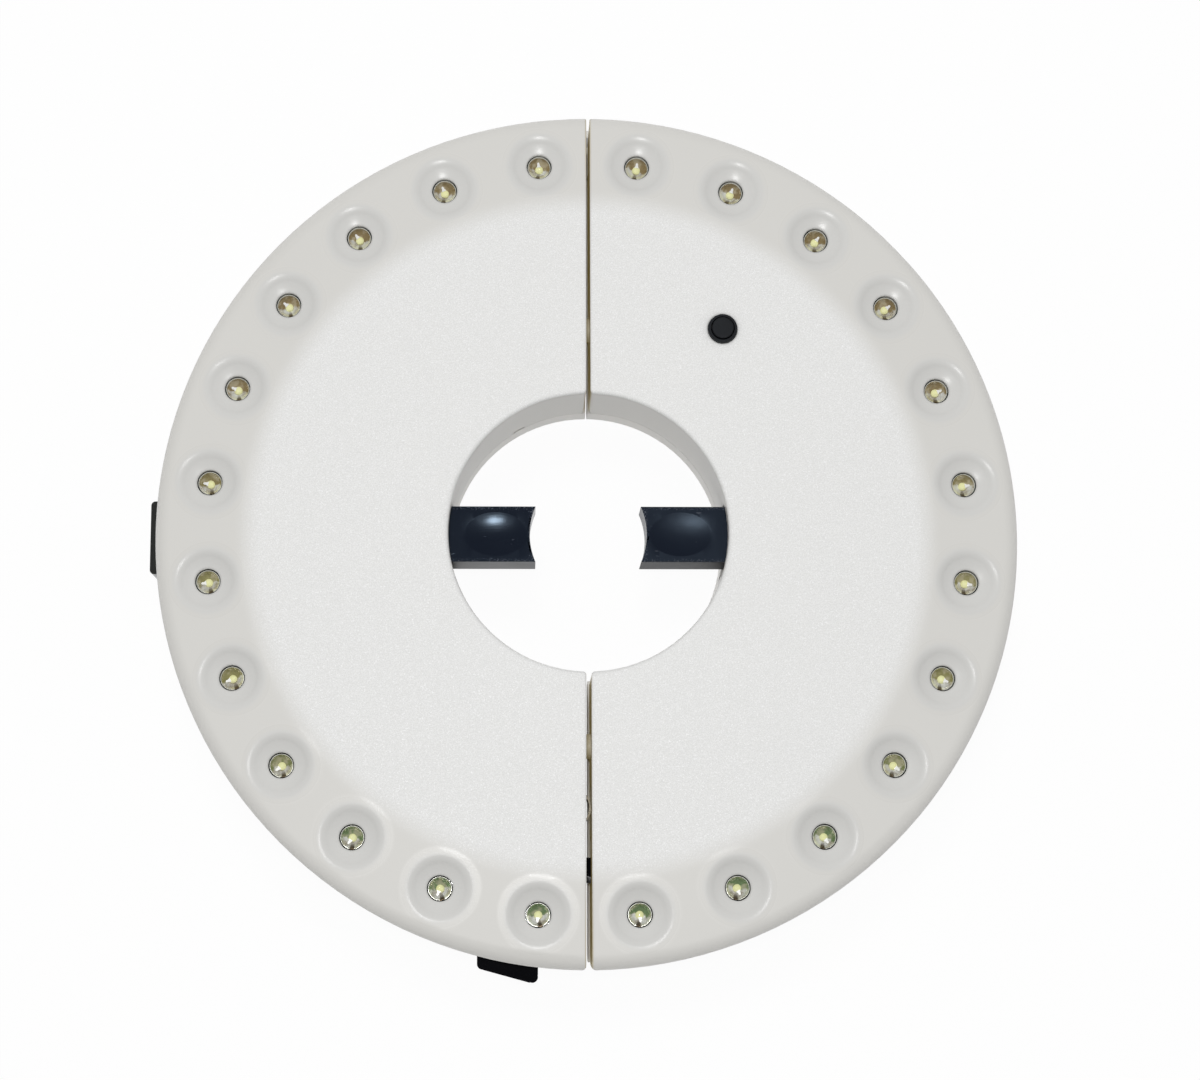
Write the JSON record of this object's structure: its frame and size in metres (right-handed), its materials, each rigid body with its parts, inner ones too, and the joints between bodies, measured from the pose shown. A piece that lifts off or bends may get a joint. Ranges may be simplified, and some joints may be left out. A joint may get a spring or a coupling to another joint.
{
  "type": "patio umbrella light",
  "caption": "Round cordless light in two hinged halves that clamp round an umbrella pole, with sprung jaws, a press latch, dished lamps and battery bays.",
  "frame": {"origin": "on the pole's axis at the back plane that the lamp lies on", "axes": "+Z along the pole towards the lit face, +Y towards the hinge pin, +X towards the half with the switch"},
  "size_m": [0.2021, 0.2046, 0.0323],
  "materials": {
    "front_white": "fine sparkle, satin gloss",
    "back_white": "smooth",
    "board_green": "satin",
    "clear_lens": "clear",
    "gloss_black": "gloss",
    "boot_rubber": "satin",
    "switch_black": "matte",
    "cell_sleeve": "plain sleeve",
    "contact_metal": "plated",
    "steel": "zinc plated"
  },
  "bodies": {
    "right_half": {"front_shell_right": "front_white", "back_shell_right": "back_white", "hinge_pin": "steel", "led_board_right": "board_green", "driver_board": "board_green", "switch_body": "switch_black", "switch_boot": "boot_rubber", "contact_plates": "contact_metal", "cell_3": "cell_sleeve", "cell_4": "cell_sleeve", "cell_bridge_right": "contact_metal", "cell_spring_right": "contact_metal", "cell_plate_right": "contact_metal", "shell_screws_right": "steel", "jaw_spring_right": "steel", "led_1": "clear_lens", "led_2": "clear_lens", "led_3": "clear_lens", "led_4": "clear_lens", "led_5": "clear_lens", "led_6": "clear_lens", "led_7": "clear_lens", "led_8": "clear_lens", "led_9": "clear_lens", "led_10": "clear_lens", "led_11": "clear_lens", "led_12": "clear_lens"},
    "left_half": {"front_shell_left": "front_white", "back_shell_left": "back_white", "led_board_left": "board_green", "contact_fingers": "contact_metal", "cell_1": "cell_sleeve", "cell_2": "cell_sleeve", "cell_bridge_left": "contact_metal", "cell_spring_left": "contact_metal", "cell_plate_left": "contact_metal", "shell_screws_left": "steel", "jaw_spring_left": "steel", "latch_pin": "steel", "latch_spring": "steel", "led_13": "clear_lens", "led_14": "clear_lens", "led_15": "clear_lens", "led_16": "clear_lens", "led_17": "clear_lens", "led_18": "clear_lens", "led_19": "clear_lens", "led_20": "clear_lens", "led_21": "clear_lens", "led_22": "clear_lens", "led_23": "clear_lens", "led_24": "clear_lens"},
    "latch": {"latch_lever": "gloss_black"},
    "jaw_left_slide": {"jaw_left": "gloss_black"},
    "jaw_right_slide": {"jaw_right": "gloss_black"},
    "switch_cap": {"switch_button": "boot_rubber"},
    "door_left": {"battery_door_left": "back_white"},
    "door_right": {"battery_door_right": "back_white"}
  },
  "joints": [
    {"name": "halves_open", "type": "hinge", "parent": "right_half", "child": "left_half", "pos_m": [0, 0.0988, 0.0064], "axis": [0, 0, -1], "range_deg": [0, 60]},
    {"name": "latch_press", "type": "hinge", "parent": "left_half", "child": "latch", "pos_m": [-0.034, -0.082, 0.0146], "axis": [0, 0, 1], "range_deg": [0, 5.5], "stiffness_Nm_per_rad": 0.05, "springref_deg": -34.38, "deforming": ["latch_spring"]},
    {"name": "jaw_left_retract", "type": "slide", "parent": "left_half", "child": "jaw_left_slide", "axis": [-1, 0, 0], "range_m": [0, 0.01], "stiffness_N_per_m": 250, "springref_m": -0.014, "deforming": ["jaw_spring_left"]},
    {"name": "jaw_right_retract", "type": "slide", "parent": "right_half", "child": "jaw_right_slide", "axis": [1, 0, 0], "range_m": [0, 0.01], "stiffness_N_per_m": 250, "springref_m": -0.014, "deforming": ["jaw_spring_right"]},
    {"name": "switch_press", "type": "slide", "parent": "right_half", "child": "switch_cap", "axis": [0, 0, -1], "range_m": [0, 0.0012], "stiffness_N_per_m": 300, "springref_m": -0.002},
    {"name": "door_left_open", "type": "hinge", "parent": "left_half", "child": "door_left", "pos_m": [-0.06137, 0.02133, 0.00015], "axis": [-0.7071, 0.7071, 0], "range_deg": [0, 60]},
    {"name": "door_right_open", "type": "hinge", "parent": "right_half", "child": "door_right", "pos_m": [0.06137, -0.02133, 0.00015], "axis": [0.7071, -0.7071, 0], "range_deg": [0, 60]}
  ]
}
